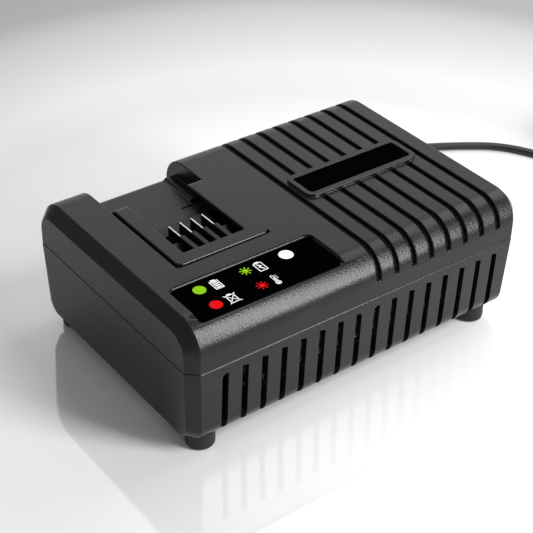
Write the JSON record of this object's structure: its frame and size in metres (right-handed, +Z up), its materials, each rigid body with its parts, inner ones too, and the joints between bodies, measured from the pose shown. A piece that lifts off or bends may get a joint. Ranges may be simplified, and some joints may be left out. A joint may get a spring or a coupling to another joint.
{
  "type": "battery charger",
  "caption": "Mains charger for slide-on tool battery packs: ribbed two-shell case on rubber feet with a rail dock, contact blades, lamp panel, inner fan and coiled cord.",
  "frame": {"origin": "on the surface that the feet stand on, under the middle of the case", "axes": "+X along the case from the dock end to the grooved end, +Y from the lamp panel to the cord side, +Z up"},
  "size_m": [0.426, 0.1962, 0.0754],
  "materials": {
    "case_plastic": "fine spark texture, charcoal",
    "rail_plastic": "fine texture, charcoal, slightly polished edges",
    "terminal_plastic": "smooth, dark grey",
    "label_gloss": "gloss black printed sheet",
    "lens": "milky clear",
    "foot_rubber": "matt",
    "blade_metal": "bright nickel plate",
    "screw_steel": "zinc plate",
    "board": "green solder mask",
    "ferrite": "matt dark grey",
    "spool": "brown moulding",
    "winding": "lacquered copper",
    "tape": "yellow tape",
    "can_sleeve": "shrink sleeve",
    "can_sleeve_blue": "shrink sleeve",
    "film_box": "yellow moulded box",
    "fuse_glass": "clear tube",
    "chip_plastic": "moulded black",
    "sink_metal": "extruded",
    "fan_plastic": "black moulding",
    "lamp_body": "clear resin",
    "wire": "coloured sleeves",
    "cord_sheath": "smooth black sheath"
  },
  "bodies": {
    "case": {"bottom_housing": "case_plastic", "top_housing": "case_plastic", "rubber_feet": "foot_rubber", "case_screws": "screw_steel", "dock_frame": "rail_plastic", "dock_screws": "screw_steel", "terminal_block": "terminal_plastic", "terminal_blades": "blade_metal", "panel_label": "label_gloss", "name_label": "label_gloss", "light_pipe": "lens", "led_board": "board", "led_board_screws": "screw_steel", "status_led": "lamp_body", "led_lead": "wire", "main_board": "board", "board_screws": "screw_steel", "transformer_core": "ferrite", "transformer_bobbin": "spool", "transformer_winding": "tape", "bulk_capacitor": "can_sleeve", "output_capacitors": "can_sleeve_blue", "choke_core": "ferrite", "choke_winding": "winding", "filter_capacitor": "film_box", "fuse": "fuse_glass", "fuse_clips": "blade_metal", "bridge_rectifier": "chip_plastic", "primary_heat_sink": "sink_metal", "switch_transistor": "chip_plastic", "secondary_heat_sink": "sink_metal", "output_rectifier": "chip_plastic", "heat_sink_screws": "screw_steel", "fan_frame": "fan_plastic", "fan_stator": "winding", "fan_lead": "wire", "terminal_leads": "wire", "strain_relief": "cord_sheath", "cord_clamp": "rail_plastic", "clamp_screws": "screw_steel", "inlet_lead": "cord_sheath", "mains_cord": "cord_sheath", "cord_coil": "cord_sheath", "coil_tie": "cord_sheath", "cord_tail": "cord_sheath", "plug_body": "cord_sheath", "plug_pins": "blade_metal"},
    "rotor": {"fan_rotor": "fan_plastic"}
  },
  "joints": [
    {"name": "fan_spin", "type": "hinge", "parent": "case", "child": "rotor", "pos_m": [0.066, 0.0557, 0.0368], "axis": [0, 1, 0], "continuous": true}
  ]
}
